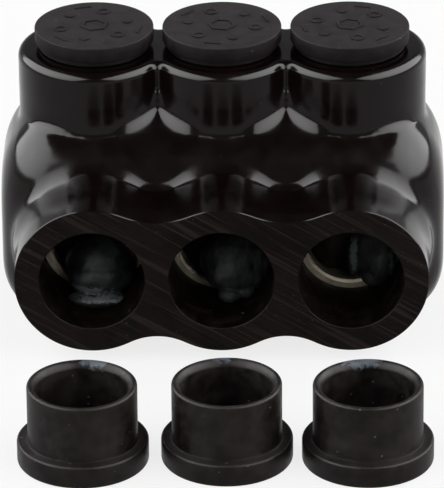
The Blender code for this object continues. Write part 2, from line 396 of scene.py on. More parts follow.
def slice_off(piece, point, direction):
    """Cuts the piece by a plane and closes the cut. It stays in edit mode."""
    open_mesh(piece)
    bpy.ops.mesh.select_all(action="SELECT")
    bpy.ops.mesh.bisect(plane_co=in_metres(point), plane_no=direction, use_fill=True,
                        clear_outer=True, threshold=CUT_NEAR * MM)


def trim_boot(boot):
    """Cuts the collars' face, its outer edge just broken, and the towers' rounded rims."""
    flat, on_cut = 0.999, 0.005
    slice_off(boot, (0, FACE_Y + FACE_NICK, 0), (0, -1, 0))
    choose(boot, "faces", lambda c, f: f.normal.y < -flat and abs(c.y - FACE_Y - FACE_NICK) < on_cut)
    bpy.ops.mesh.inset(thickness=FACE_NICK * MM, depth=FACE_NICK * MM, use_even_offset=True)
    close_mesh()
    slice_off(boot, (0, 0, RIM_Z - RIM_ROUND), (0, 0, 1))
    choose(boot, "faces", lambda c, f: f.normal.z > flat and abs(c.z - RIM_Z + RIM_ROUND) < on_cut)
    round_off = quarter(RIM_ROUND, 6)
    for (r0, h0), (r1, h1) in zip(round_off, round_off[1:]):
        bpy.ops.mesh.inset(thickness=(r0 - r1) * MM, depth=(h1 - h0) * MM, use_even_offset=True)
    close_mesh()


def boot_hollow():
    """The space for the block, with the wire passages and the screw wells that open into it."""
    hollow = chamfered_box("hollow", [c - BLOCK_GAP for c in BLOCK[0]], [c + BLOCK_GAP for c in BLOCK[1]])
    grow = (PORT_R + PORT_MOUTH) / PORT_R
    beyond, above = 3.0, 6.0
    for x in PORT_X:
        passage = rod("passage", PORT_R, (x, PORT_END_Y, AXIS_Z), (x, FACE_Y + PORT_MOUTH, AXIS_Z), 144)
        open_mesh(passage, "FACE")
        choose(passage, "faces", lambda c, f: f.normal.y < -FACING)
        push_out(0, -PORT_MOUTH, 0)
        bpy.ops.transform.resize(value=(grow, 1, grow), center_override=(x * MM, 0, AXIS_Z * MM))
        push_out(0, -beyond, 0)
        close_mesh()
        combine(hollow, passage, "UNION")
        combine(hollow, rod("well", WELL_R, (x, 0, WELL_END_Z), (x, 0, RIM_Z + above), 144), "UNION")
    return hollow


def sort_surfaces(boot):
    """Says which faces are moulded skin, which are the cut face and which lie inside."""
    cut, inner = 1, 2           # as the boot's materials stand in their row, skin first
    middle = (Vector(BLOCK[0]) + Vector(BLOCK[1])) / 2
    reach, port_reach, well_reach = BLOCK_GAP + 0.1, PORT_R + 0.3, WELL_R + 0.05
    for face in boot.data.polygons:
        c, n = face.center / MM, face.normal
        in_passage = c.y < PORT_END_Y and any(
            (c.x - x) ** 2 + (c.z - AXIS_Z) ** 2 < port_reach ** 2 for x in PORT_X)
        in_well = c.z > WELL_END_Z and abs(n.z) < 0.5 and any(
            (c.x - x) ** 2 + c.y ** 2 < well_reach ** 2 for x in PORT_X)
        in_hollow = n.dot(c - middle) < 0 and all(
            low - reach < at < high + reach for low, at, high in zip(BLOCK[0], c, BLOCK[1]))
        if abs(c.y - FACE_Y) < 0.02 and n.y < -FACING:
            face.material_index = cut
        elif in_passage or in_well or in_hollow:
            face.material_index = inner


def boot_moulding():
    """The one-piece soft boot: blended, trimmed and hollow."""
    boot = rough_boot()
    blend_roots(boot)
    trim_boot(boot)
    combine(boot, boot_hollow())
    smooth(boot)
    sort_surfaces(boot)
    return boot


# The metal parts

def thread_outline(first, last, tooth):
    """Repeats a tooth, given as (radius, height) points, while its foot is below the last height."""
    outline = []
    h = first
    while h < last:
        outline += [(r, h + up) for r, up in tooth]
        h += THREAD_PITCH
    return outline


def bore_drill(x):
    """A drill with a pointed end and a flare that breaks the bore's front edge."""
    tip = BORE_R / math.tan(math.radians(DRILL_POINT / 2))
    depth, beyond = BORE_END_Y - BLOCK[0][1], 30
    wide = BORE_R + BORE_LEAD
    outline = [(0, 0), (BORE_R, tip), (BORE_R, depth - BORE_LEAD), (wide, depth), (wide, beyond), (0, beyond)]
    drill = turned("drill", outline, steps=112)
    drill.rotation_euler = (math.radians(90), 0, 0)
    drill.location = (x * MM, BORE_END_Y * MM, AXIS_Z * MM)
    return bake_place(drill)


def screw_tap(x):
    """A tap whose teeth are rings that run up and out of the block."""
    foot, first, last, head = 20.0, 24.0, 35.0, 38.0
    root = THREAD_R - 0.75
    tooth = ((THREAD_R, 0.55), (THREAD_R, 0.75), (root, 1.3), (root, THREAD_PITCH))
    outline = [(0.0, foot), (root, foot), (root, first)] + thread_outline(first, last, tooth)
    outline += [(THREAD_R, head - 2), (THREAD_R, head), (0.0, head)]
    return turned("tap", outline, (x, 0, 0), 96)


def tapped_block():
    block = chamfered_box("tapped_block", *BLOCK)
    for x in PORT_X:
        combine(block, bore_drill(x))
        combine(block, screw_tap(x))
    return smooth(block, 30)


def hex_key(top):
    """What sinks the socket: a hexagon with a lead-in above and a shallow point below."""
    key = rod("key", HEX_WIDE / math.sqrt(3), (0, 0, top - HEX_DEEP), (0, 0, top - HEX_LEAD), 6)
    lead_grow, tip_shrink = 1.1, 0.1
    open_mesh(key, "FACE")
    choose(key, "faces", lambda c, f: f.normal.z > FACING)
    push_out(0, 0, HEX_LEAD)
    bpy.ops.transform.resize(value=(lead_grow, lead_grow, 1), center_override=(0, 0, top * MM))
    push_out(0, 0, 1.0)
    choose(key, "faces", lambda c, f: f.normal.z < -FACING)
    push_out(0, 0, -0.9)
    bpy.ops.transform.resize(value=(tip_shrink, tip_shrink, 1), center_override=(0, 0, 0))
    close_mesh()
    return key


def set_screw():
    """Threaded plug with a hexagon socket, its pressing end rounded to a flat."""
    root, crest = SCREW_R - 0.62, SCREW_R - 0.06
    tooth = ((root, 0.0), (crest, 0.52), (crest, 0.72), (root, 1.24))
    outline = [(0.0, 0.15), (6.6, 0.0), (7.9, 0.35), (root, 1.4)]
    outline += thread_outline(1.6, SCREW_LENGTH - 0.8 - THREAD_PITCH, tooth)
    outline += [(root, SCREW_LENGTH - 0.7), (SCREW_R - 1.25, SCREW_LENGTH), (0.0, SCREW_LENGTH)]
    screw = turned("set_screw", outline, (0, 0, SCREW_Z), 96)
    combine(screw, hex_key(SCREW_Z + SCREW_LENGTH))
    return smooth(screw, 30)


# Caps and stoppers

def disc(radius, height, middle, facets):
    bpy.ops.mesh.primitive_cylinder_add(vertices=facets, radius=radius * MM, depth=height * MM,
                                        location=in_metres(middle))
    return bake_place(bpy.context.object)


def sink_top(mark, rim, depth):
    """Sinks the top of a mark, but for a rim."""
    open_mesh(mark, "FACE")
    choose(mark, "faces", lambda c, f: f.normal.z > FACING)
    bpy.ops.mesh.inset(thickness=rim * MM)
    push_out(0, 0, -depth)
    close_mesh()
    return mark


def cap_marks(z):
    """Raised marks: a hexagon in the middle, and plain rings, dots and bars round it."""
    marks = [sink_top(disc(2.9, 0.5, (0, 0, z), 6), 0.55, 0.2)]
    circle_r = 7.0
    for k in range(6):
        a = math.radians(60 * k + 30)
        middle = (circle_r * math.cos(a), circle_r * math.sin(a), z)
        if k % 2:
            marks.append(sink_top(disc(1.35, 0.44, middle, 28), 0.42, 0.17))
        else:
            marks.append(disc(1.0, 0.44, middle, 28))
    for k in range(3):
        bar = box("bar", (-1.7, 9.2, z - 0.2), (1.7, 9.65, z + 0.2))
        open_mesh(bar)
        bpy.ops.mesh.select_all(action="SELECT")
        bpy.ops.transform.rotate(value=math.radians(120 * k + 90), orient_axis="Z",
                                 center_override=(0, 0, 0))
        close_mesh()
        marks.append(bar)
    return marks


def screw_cap():
    """Flat lid on a waist, with a hollow stem that plugs the tower."""
    hollow = [(0.0, -0.6), (8.5, -0.6), (8.9, -1.0), (8.9, -6.4)]
    stem = [(9.2, -6.8), (9.9, -6.8), (10.3, -6.6), (10.6, -6.1), (10.6, -4.4)]
    groove = [(10.45, -4.2), (10.45, -3.2), (10.6, -3.0)]
    waist = [(10.6, 0.0), (11.25, 0.0), (11.25, 1.0), (11.38, 1.1)]
    under = [(CAP_R - 0.35, 1.1), (CAP_R - 0.1, 1.2), (CAP_R, 1.45)]
    edge = rounded(CAP_R, CAP_TOP, 0.28, 3)
    outline = hollow + stem + groove + waist + under + edge + [(0.0, CAP_TOP)]
    cap = turned("screw_cap", outline, (0, 0, CAP_Z), 112)
    for mark in cap_marks(CAP_Z + CAP_TOP):
        combine(cap, mark, "UNION")
    return smooth(cap, 30)


def port_stopper():
    """Cup with a thick flange, which stands on its flange with the open end up."""
    tube, cup, top, flange, step = STOPPER_R, STOPPER_CUP_R, STOPPER_TOP, FLANGE_R, FLANGE_TOP
    foot = [(flange - 0.6 + s, 0.6 - c) for c, s in quarter(0.6, 4)]
    under = [(0.0, 0.35), (4.0, 0.3), (9.0, 0.3), (9.6, 0.0)] + foot
    root = [(tube + 0.45, step), (tube + 0.12, step + 0.12), (tube, step + 0.5)]
    lip = rounded(tube, top, 0.55, 5)
    lip += [(cup + 0.45, top - 0.06), (cup + 0.1, top - 0.3), (cup - 0.4, top - 1.1), (cup - 0.5, top - 1.5)]
    inside = [(cup - 0.3, 3.4), (cup - 0.4, 2.6), (cup - 1.2, 2.4), (2.2, 2.4), (1.9, 2.55), (0.0, 2.6)]
    outline = under + rounded(flange, step, 0.5, 4) + root + lip + inside
    return smooth(turned("port_stopper", outline, (0, 0, 0), 112), 30)


# Sealing paste

def lump(name, balls, rough=0.5, grain=3.0):
    """Balls of paste, as (centre, half sizes, lean), pressed into one lump and made uneven."""
    pieces = []
    for centre, size, lean in balls:
        bpy.ops.mesh.primitive_uv_sphere_add(segments=40, ring_count=24, radius=1.0)
        ball = bpy.context.object
        ball.scale = in_metres(size)
        ball.rotation_euler = [math.radians(t) for t in lean]
        ball.location = in_metres(centre)
        pieces.append(bake_place(ball))
    piece = join(name, pieces)
    piece.data.remesh_voxel_size = 0.3 * MM
    bpy.ops.object.voxel_remesh()
    pressed = piece.modifiers.new("pressed", "SMOOTH")
    pressed.factor = 0.5
    pressed.iterations = 9
    clouds = bpy.data.textures.new(name + "_clouds", "CLOUDS")
    clouds.noise_scale = grain * MM
    clouds.noise_depth = 3
    uneven = piece.modifiers.new("uneven", "DISPLACE")
    uneven.texture = clouds
    uneven.texture_coords = "LOCAL"
    uneven.strength = rough * MM
    uneven.mid_level = 0.5
    apply_modifiers(piece)
    return smooth(piece, 60)


def paste_left():
    """A wide tongue that leans out of the bore and ends in a lip on the floor of the passage."""
    return lump("paste_left", [((-24.9, -18.4, 13.4), (7.3, 6.6, 6.9), (0, 0, 0)),
                               ((-24.6, -21.6, 12.2), (6.7, 5.0, 4.2), (38, 0, 4)),
                               ((-25.2, -25.2, 8.5), (6.3, 2.6, 1.6), (8, 0, -3))], 0.5, 4.0)


def paste_middle():
    """A drier dome with one drip."""
    return lump("paste_middle", [((2.8, -18.9, 14.4), (7.5, 5.7, 6.8), (0, 0, 0)),
                                 ((3.2, -21.0, 12.6), (6.6, 4.4, 5.0), (14, 0, 8)),
                                 ((1.6, -24.2, 8.9), (2.5, 2.2, 1.7), (0, 0, 0)),
                                 ((4.2, -23.4, 9.3), (2.6, 1.9, 1.7), (0, 0, 0))], 0.8, 3.0)


def paste_right():
    """An upright fold against the right side of the bore."""
    return lump("paste_right", [((27.2, -17.3, 16.0), (1.9, 3.6, 6.6), (0, 4, -8)),
                                ((31.0, -17.4, 15.3), (4.7, 3.6, 7.0), (0, 6, 6)),
                                ((32.2, -18.6, 13.0), (3.0, 3.4, 4.6), (0, 8, 10)),
                                ((31.0, -18.9, 10.4), (2.8, 2.6, 1.9), (0, 0, 0))], 0.5, 2.6)


def bore_filling(side, x):
    """Old paste that closes the bore behind its mouth."""
    wide = BORE_R - 0.15
    return lump("bore_filling_" + side, [((x, -13.2, AXIS_Z), (wide, 3.1, wide), (0, 0, 0)),
                                         ((x - 3.2, -14.4, AXIS_Z - 1.0), (4.6, 2.4, 6.8), (0, 0, 12)),
                                         ((x + 3.4, -14.0, AXIS_Z + 1.5), (4.4, 2.2, 6.0), (0, 0, -16))],
                0.5, 2.2)


# Materials

def group(name, inputs, outputs):
    """A shader node group with named inputs and outputs."""
    tree = bpy.data.node_groups.new(name, "ShaderNodeTree")
    for label, kind, value in inputs:
        socket = tree.interface.new_socket(name=label, in_out="INPUT", socket_type=kind)
        if value is not None:
            socket.default_value = value
    for label, kind in outputs:
        tree.interface.new_socket(name=label, in_out="OUTPUT", socket_type=kind)
    start = tree.nodes.new("NodeGroupInput")
    end = tree.nodes.new("NodeGroupOutput")
    return tree, start, end


def link(tree, source, target):
    tree.links.new(source, target)


def noise(tree, vector, scale, detail=3.0, rough=0.55, distort=0.0):
    node = tree.nodes.new("ShaderNodeTexNoise")
    node.inputs["Detail"].default_value = detail
    node.inputs["Roughness"].default_value = rough
    node.inputs["Distortion"].default_value = distort
    if isinstance(scale, (int, float)):
        node.inputs["Scale"].default_value = scale
    else:
        link(tree, scale, node.inputs["Scale"])
    link(tree, vector, node.inputs["Vector"])
    return node.outputs["Fac"]


def spread(tree, value, low, high, to_low=0.0, to_high=1.0):
    node = tree.nodes.new("ShaderNodeMapRange")
    for label, number in (("From Min", low), ("From Max", high), ("To Min", to_low), ("To Max", to_high)):
        if isinstance(number, (int, float)):
            node.inputs[label].default_value = number
        else:
            link(tree, number, node.inputs[label])
    link(tree, value, node.inputs["Value"])
    return node.outputs["Result"]


def maths(tree, how, a, b=None):
    node = tree.nodes.new("ShaderNodeMath")
    node.operation = how
    for socket, value in zip(node.inputs, (a, b)):
        if value is None:
            continue
        if isinstance(value, (int, float)):
            socket.default_value = value
        else:
            link(tree, value, socket)
    return node.outputs[0]


def vector_maths(tree, how, a, b=None):
    node = tree.nodes.new("ShaderNodeVectorMath")
    node.operation = how
    link(tree, a, node.inputs[0])
    if b is not None:
        link(tree, b, node.inputs[1])
    return node.outputs["Value" if how == "LENGTH" else "Vector"]


def mix_colour(tree, factor, a, b):
    node = tree.nodes.new("ShaderNodeMix")
    node.data_type = "RGBA"
    for label, value in ((0, factor), (6, a), (7, b)):
        if isinstance(value, (int, float, tuple)):
            node.inputs[label].default_value = value
        else:
            link(tree, value, node.inputs[label])
    return node.outputs[2]


def mottle_group():
    """Slow unevenness of a moulded surface, and fine grain, as two heights and one mask."""
    tree, start, end = group("moulded_grain",
                             [("Place", "NodeSocketVector", None), ("Grain Size", "NodeSocketFloat", 1800.0),
                              ("Wave Size", "NodeSocketFloat", 90.0)],
                             [("Grain", "NodeSocketFloat"), ("Wave", "NodeSocketFloat"),
                              ("Cloud", "NodeSocketFloat")])
    place, wave_size = start.outputs["Place"], start.outputs["Wave Size"]
    grain = noise(tree, place, start.outputs["Grain Size"], 2.0)
    wave = noise(tree, place, wave_size, 1.0, 0.4)
    cloud = noise(tree, place, maths(tree, "MULTIPLY", wave_size, 2.6), 4.0, 0.6)
    link(tree, grain, end.inputs["Grain"])
    link(tree, wave, end.inputs["Wave"])
    link(tree, spread(tree, cloud, 0.35, 0.68), end.inputs["Cloud"])
    return tree


def speck_group():
    """Small specks of dust, as a mask."""
    tree, start, end = group("dust_specks",
                             [("Place", "NodeSocketVector", None), ("Density", "NodeSocketFloat", 900.0),
                              ("Size", "NodeSocketFloat", 0.16)],
                             [("Specks", "NodeSocketFloat")])
    cells = tree.nodes.new("ShaderNodeTexVoronoi")
    link(tree, start.outputs["Place"], cells.inputs["Vector"])
    link(tree, start.outputs["Density"], cells.inputs["Scale"])
    parts = tree.nodes.new("ShaderNodeSeparateColor")
    link(tree, cells.outputs["Color"], parts.inputs["Color"])
    chosen = spread(tree, parts.outputs[0], 0.80, 0.98)
    reach = maths(tree, "MULTIPLY", start.outputs["Size"], chosen)
    near = maths(tree, "LESS_THAN", cells.outputs["Distance"], reach)
    link(tree, near, end.inputs["Specks"])
    return tree


def scratch_group():
    """Fine straight marks along one direction, as a height and a mask."""
    tree, start, end = group("drawn_marks",
                             [("Place", "NodeSocketVector", None), ("Turn", "NodeSocketFloat", 0.0),
                              ("Across", "NodeSocketFloat", 1500.0), ("Along", "NodeSocketFloat", 40.0)],
                             [("Marks", "NodeSocketFloat"), ("Deep Marks", "NodeSocketFloat")])
    turn = tree.nodes.new("ShaderNodeVectorRotate")
    turn.rotation_type = "Y_AXIS"
    link(tree, start.outputs["Place"], turn.inputs["Vector"])
    link(tree, start.outputs["Turn"], turn.inputs["Angle"])
    size = tree.nodes.new("ShaderNodeCombineXYZ")
    link(tree, start.outputs["Along"], size.inputs["X"])
    link(tree, start.outputs["Across"], size.inputs["Y"])
    link(tree, start.outputs["Across"], size.inputs["Z"])
    drawn_out = vector_maths(tree, "MULTIPLY", turn.outputs[0], size.outputs[0])
    fine = noise(tree, drawn_out, 1.0, 3.0, 0.6)
    coarse = noise(tree, drawn_out, 0.42, 2.0, 0.5)
    link(tree, fine, end.inputs["Marks"])
    link(tree, spread(tree, coarse, 0.54, 0.66), end.inputs["Deep Marks"])
    return tree


def edge_group():
    """Worn or dusty convex edges, as a mask."""
    tree, start, end = group("worn_edges",
                             [("Place", "NodeSocketVector", None), ("Low", "NodeSocketFloat", 0.52),
                              ("High", "NodeSocketFloat", 0.60)],
                             [("Edges", "NodeSocketFloat")])
    shape = tree.nodes.new("ShaderNodeNewGeometry")
    broken = noise(tree, start.outputs["Place"], 420.0, 3.0)
    mask = spread(tree, shape.outputs["Pointiness"], start.outputs["Low"], start.outputs["High"])
    link(tree, maths(tree, "MULTIPLY", mask, spread(tree, broken, 0.35, 0.6)), end.inputs["Edges"])
    return tree


def dust_and_painted_top_light_group():
    """Dust on what faces up, together with painted light that falls on the tops, as a mask."""
    tree, start, end = group("settled_dust_and_painted_top_light",
                             [("Place", "NodeSocketVector", None), ("Patch Size", "NodeSocketFloat", 260.0)],
                             [("Dust And Painted Top Light", "NodeSocketFloat")])
    shape = tree.nodes.new("ShaderNodeNewGeometry")
    parts = tree.nodes.new("ShaderNodeSeparateXYZ")
    link(tree, shape.outputs["Normal"], parts.inputs[0])
    upward = spread(tree, parts.outputs["Z"], 0.5, 0.95)
    patches = spread(tree, noise(tree, start.outputs["Place"], start.outputs["Patch Size"], 4.0),
                     0.3, 0.6, 0.8, 1.0)
    link(tree, maths(tree, "MULTIPLY", upward, patches), end.inputs["Dust And Painted Top Light"])
    return tree


def smear_and_highlight_group():
    """A patch round one place, broken into streaks, as a mask: dried grease on the stoppers, painted
    highlights on the paste.
    """
    tree, start, end = group("grease_smear_and_painted_highlight",
                             [("Place", "NodeSocketVector", None), ("Centre", "NodeSocketVector", (0, 0, 0)),
                              ("Reach", "NodeSocketVector", (0.004, 0.002, 0.002)),
                              ("Cover", "NodeSocketFloat", 0.5)],
                             [("Smear And Highlight", "NodeSocketFloat")])
    away = vector_maths(tree, "SUBTRACT", start.outputs["Place"], start.outputs["Centre"])
    share = vector_maths(tree, "DIVIDE", away, start.outputs["Reach"])
    inside = spread(tree, vector_maths(tree, "LENGTH", share), 1.0, 0.35)
    streaks = spread(tree, noise(tree, start.outputs["Place"], 900.0, 4.0, 0.65, 0.6), 0.36, 0.62)
    bare = maths(tree, "SUBTRACT", 1.0, start.outputs["Cover"])
    both = maths(tree, "ADD", inside, maths(tree, "SUBTRACT", streaks, bare))
    within = maths(tree, "GREATER_THAN", inside, 0.0)
    link(tree, maths(tree, "MULTIPLY", spread(tree, both, 0.35, 1.0), within), end.inputs["Smear And Highlight"])
    return tree


GRAIN, SPECKS, MARKS, EDGES = mottle_group(), speck_group(), scratch_group(), edge_group()
DUST_AND_PAINTED_TOP_LIGHT, SMEAR_AND_HIGHLIGHT = dust_and_painted_top_light_group(), smear_and_highlight_group()


class Finish:
    """A material under work: its Principled shader, and one place vector."""

    def __init__(self, name, colour, rough, metal=0.0, specular=0.5):
        self.material = bpy.data.materials.new(name)
        self.material.use_nodes = True
        self.tree = self.material.node_tree
        self.shader = self.tree.nodes["Principled BSDF"]
        self.shader.inputs["Metallic"].default_value = metal
        self.shader.inputs["Specular IOR Level"].default_value = specular
        self.shader.inputs["Roughness"].default_value = rough
        self.shader.inputs["Base Color"].default_value = (*colour, 1.0)
        self.place = self.tree.nodes.new("ShaderNodeTexCoord").outputs["Object"]

    def use(self, tree, **values):
        node = self.tree.nodes.new("ShaderNodeGroup")
        node.node_tree = tree
        link(self.tree, self.place, node.inputs["Place"])
        for label, value in values.items():
            node.inputs[label.replace("_", " ")].default_value = value
        return node.outputs

    def between(self, mask, low, high):
        """A colour that goes from one to the other with the mask."""
        return mix_colour(self.tree, mask, (*low, 1), (*high, 1))

    def over(self, base, mask, colour, share=None):
        """Lays a colour over the base where the mask says, or a share of it."""
        if share is not None:
            mask = maths(self.tree, "MULTIPLY", mask, share)
        return mix_colour(self.tree, mask, base, (*colour, 1))

    def colour(self, socket):
        link(self.tree, socket, self.shader.inputs["Base Color"])

    def rough(self, mask, low, high, start=0.0, end=1.0):
        """Roughness from low to high while the mask goes from start to end."""
        link(self.tree, spread(self.tree, mask, start, end, low, high), self.shader.inputs["Roughness"])

    def relief(self, *heights):
        """Stacks bumps, each given as (height, strength, distance in millimetres)."""
        before = None
        for height, strength, distance in heights:
            bump = self.tree.nodes.new("ShaderNodeBump")
            bump.inputs["Strength"].default_value = strength
            bump.inputs["Distance"].default_value = distance * MM
            link(self.tree, height, bump.inputs["Height"])
            if before is not None:
                link(self.tree, before, bump.inputs["Normal"])
            before = bump.outputs["Normal"]
        link(self.tree, before, self.shader.inputs["Normal"])


SAW_TURN = -31.0            # degrees, the way the saw ran across the cut face
GREASE = (0.082, 0.096, 0.114)
# grease on the stoppers' far rims: stopper, place from its middle, reach, how much of it is covered
SMEARS = ((STOPPER_AT[0], (3.4, 9.8), (4.8, 2.4, 2.0), 0.64),
          (STOPPER_AT[1], (-1.8, 10.3), (5.2, 1.4, 1.1), 0.50),
          (STOPPER_AT[2], (-2.2, 10.0), (5.8, 2.2, 2.0), 0.70))
# the colour of the painted highlights on the paste
PAINTED_HIGHLIGHT_GREY = (0.10, 0.115, 0.12)
# painted highlights on the paste, laid on as silvery streaks: centre, reach
WET_PAINTED_HIGHLIGHTS = (((-27.0, -24.6, 10.8), (5.8, 3.4, 1.1)), ((-24.5, -26.6, 9.2), (6.0, 2.6, 0.8)))
FOLD_PAINTED_HIGHLIGHTS = (((26.6, -20.6, 16.0), (1.0, 2.0, 6.0)), ((34.4, -19.0, 13.6), (1.2, 3.0, 4.5)))


def glossy_skin():
    m = Finish("glossy_moulded_skin", (0.0022, 0.0020, 0.0022), 0.15, specular=0.15)
    grain = m.use(GRAIN, Grain_Size=1500.0, Wave_Size=70.0)
    dust = m.use(SPECKS, Density=620.0, Size=0.12)
    base = m.between(grain["Cloud"], (0.0032, 0.0013, 0.0014), (0.0048, 0.0023, 0.0025))
    m.colour(m.over(base, dust["Specks"], (0.05, 0.05, 0.052), 0.4))
    m.rough(grain["Cloud"], 0.12, 0.19)
    m.relief((grain["Wave"], 0.10, 1.0), (grain["Grain"], 0.05, 0.05))
    return m.material


def cut_surface():
    m = Finish("sawn_cut_face", (0.002, 0.0018, 0.0017), 0.6, specular=0.045)
    marks = m.use(MARKS, Turn=math.radians(SAW_TURN), Across=2600.0, Along=70.0)
    wide = m.use(MARKS, Turn=math.radians(SAW_TURN - 4), Across=900.0, Along=30.0)
    grain = m.use(GRAIN, Grain_Size=2600.0, Wave_Size=60.0)
    dust = m.use(SPECKS, Density=1100.0, Size=0.19)
    base = m.between(grain["Cloud"], (0.0009, 0.0003, 0.0002), (0.0044, 0.0021, 0.0016))
    base = m.over(base, wide["Deep Marks"], (0.0082, 0.0056, 0.0048), 0.22)
    base = m.over(base, marks["Deep Marks"], (0.022, 0.0170, 0.0155), 0.48)
    m.colour(m.over(base, dust["Specks"], (0.055, 0.053, 0.05), 0.5))
    m.rough(marks["Marks"], 0.45, 0.75, 0.3, 0.7)
    m.relief((marks["Marks"], 0.6, 0.14), (grain["Grain"], 0.3, 0.06))
    return m.material


def passage_wall():
    # the inside faces are darker than the outer skin, as painted shade in the passages, wells and hollow
    m = Finish("passage_wall", (0.0012, 0.0006, 0.0003), 0.5, specular=0.04)
    grain = m.use(GRAIN, Grain_Size=1100.0, Wave_Size=110.0)
    dust = m.use(SPECKS, Density=480.0, Size=0.17)
    base = m.between(grain["Cloud"], (0.0012, 0.0004, 0.0001), (0.0040, 0.0021, 0.0010))
    m.colour(m.over(base, dust["Specks"], (0.06, 0.055, 0.045), 0.6))
    m.rough(grain["Cloud"], 0.42, 0.62)
    m.relief((grain["Cloud"], 0.25, 0.3), (grain["Grain"], 0.2, 0.08))
    return m.material


def cap_finish():
    m = Finish("matt_cap_moulding", (0.018, 0.0172, 0.0182), 0.6, specular=0.07)
    grain = m.use(GRAIN, Grain_Size=2200.0, Wave_Size=140.0)
    dust = m.use(SPECKS, Density=800.0, Size=0.15)
    worn = m.use(EDGES, Low=0.53, High=0.62)
    dust_and_painted_top_light = m.use(DUST_AND_PAINTED_TOP_LIGHT, Patch_Size=240.0)
    base = m.between(grain["Cloud"], (0.0028, 0.0018, 0.0019), (0.0048, 0.0035, 0.0038))
    # tops lighter: dust, and painted light falling from above
    base = m.over(base, dust_and_painted_top_light["Dust And Painted Top Light"], (0.0132, 0.0111, 0.0126))
    # edges are rubbed where the dust and the painted top light are not
    clear = spread(m.tree, dust_and_painted_top_light["Dust And Painted Top Light"], 0.2, 0.7, 0.35, 0.0)
    base = m.over(base, worn["Edges"], (0.06, 0.058, 0.06), clear)
    m.colour(m.over(base, dust["Specks"], (0.11, 0.11, 0.11), 0.5))
    m.rough(grain["Cloud"], 0.52, 0.68)
    m.relief((grain["Grain"], 0.35, 0.06), (grain["Cloud"], 0.15, 0.1))
    return m.material


def stopper_finish():
    m = Finish("matt_stopper_rubber", (0.0065, 0.006, 0.0064), 0.42, specular=0.10)
    grain = m.use(GRAIN, Grain_Size=1700.0, Wave_Size=120.0)
    dust = m.use(SPECKS, Density=700.0, Size=0.16)
    worn = m.use(EDGES, Low=0.53, High=0.62)
    dust_and_painted_top_light = m.use(DUST_AND_PAINTED_TOP_LIGHT, Patch_Size=400.0)
    base = m.between(grain["Cloud"], (0.0030, 0.0016, 0.0015), (0.0066, 0.0042, 0.0041))
    # upward faces lighter: dust, and painted light falling from above
    base = m.over(base, dust_and_painted_top_light["Dust And Painted Top Light"], (0.0190, 0.0158, 0.0155), 0.35)
    base = m.over(base, worn["Edges"], (0.035, 0.035, 0.036), 0.35)
    base = m.over(base, dust["Specks"], (0.10, 0.10, 0.10), 0.6)
    for (x, y), (dx, dy), reach, cover in SMEARS:
        centre = (x + dx, y + dy, STOPPER_TOP - 0.2)
        smear = m.use(SMEAR_AND_HIGHLIGHT, Centre=in_metres(centre), Reach=in_metres(reach), Cover=cover)
        base = m.over(base, smear["Smear And Highlight"], GREASE)
    m.colour(base)
    m.rough(grain["Cloud"], 0.34, 0.52)
    m.relief((grain["Grain"], 0.3, 0.07), (grain["Cloud"], 0.2, 0.12))
    return m.material


def plated_metal():
    m = Finish("plated_block_metal", (0.72, 0.66, 0.55), 0.5, metal=1.0)
    marks = m.use(MARKS, Turn=math.radians(8), Across=900.0, Along=90.0)
    grain = m.use(GRAIN, Grain_Size=1300.0, Wave_Size=160.0)
    base = m.between(grain["Cloud"], (0.33, 0.29, 0.22), (0.46, 0.42, 0.34))
    m.colour(m.over(base, marks["Deep Marks"], (0.22, 0.19, 0.15), 0.4))
    m.rough(grain["Cloud"], 0.42, 0.6)
    m.relief((marks["Marks"], 0.25, 0.05), (grain["Grain"], 0.15, 0.04))
    return m.material


def screw_metal():
    m = Finish("screw_metal", (0.60, 0.60, 0.58), 0.32, metal=1.0)
    marks = m.use(MARKS, Turn=0.0, Across=1600.0, Along=300.0)
    grain = m.use(GRAIN, Grain_Size=1600.0, Wave_Size=200.0)
    worn = m.use(EDGES, Low=0.54, High=0.64)
    base = m.between(grain["Cloud"], (0.50, 0.50, 0.48), (0.66, 0.66, 0.64))
    m.colour(m.over(base, worn["Edges"], (0.82, 0.82, 0.80), 0.6))
    m.rough(grain["Cloud"], 0.26, 0.42)
    m.relief((marks["Marks"], 0.2, 0.03), (grain["Grain"], 0.15, 0.03))
    return m.material


def paste_finish(name, dark, light, rough_low, rough_high, gloss, painted_highlights=()):
    m = Finish(name, dark, rough_low, specular=gloss)
    grain = m.use(GRAIN, Grain_Size=900.0, Wave_Size=170.0)
    marks = m.use(MARKS, Turn=math.radians(75), Across=520.0, Along=120.0)
    base = m.between(grain["Cloud"], dark, light)
    pale = tuple(min(1.0, 2.4 * c) for c in light)
    base = m.over(base, marks["Deep Marks"], pale, 0.5)
    # painted highlights laid over the paste's own colour
    for centre, reach in painted_highlights:
        painted_highlight = m.use(SMEAR_AND_HIGHLIGHT, Centre=in_metres(centre), Reach=in_metres(reach), Cover=0.75)
        base = m.over(base, painted_highlight["Smear And Highlight"], PAINTED_HIGHLIGHT_GREY)
    m.colour(base)
    m.rough(grain["Cloud"], rough_low, rough_high)
    m.relief((marks["Marks"], 0.5, 0.35), (grain["Grain"], 0.3, 0.12))
    return m.material


SKIN, CUT, WALL = glossy_skin(), cut_surface(), passage_wall()
CAP, STOPPER = cap_finish(), stopper_finish()
BLOCK_METAL, SCREW_METAL = plated_metal(), screw_metal()
PASTE_WET = paste_finish("sealing_paste_wet", (0.0060, 0.0066, 0.0066), (0.018, 0.0196, 0.0202),
                         0.34, 0.5, 0.10, WET_PAINTED_HIGHLIGHTS)
PASTE_DRY = paste_finish("sealing_paste_dry", (0.010, 0.0112, 0.0105), (0.026, 0.029, 0.028),
                         0.45, 0.65, 0.05, FOLD_PAINTED_HIGHLIGHTS)
PASTE_OLD = paste_finish("sealing_paste_old", (0.0036, 0.0026, 0.0023), (0.0115, 0.0092, 0.0084),
                         0.4, 0.6, 0.06)


# Putting it together

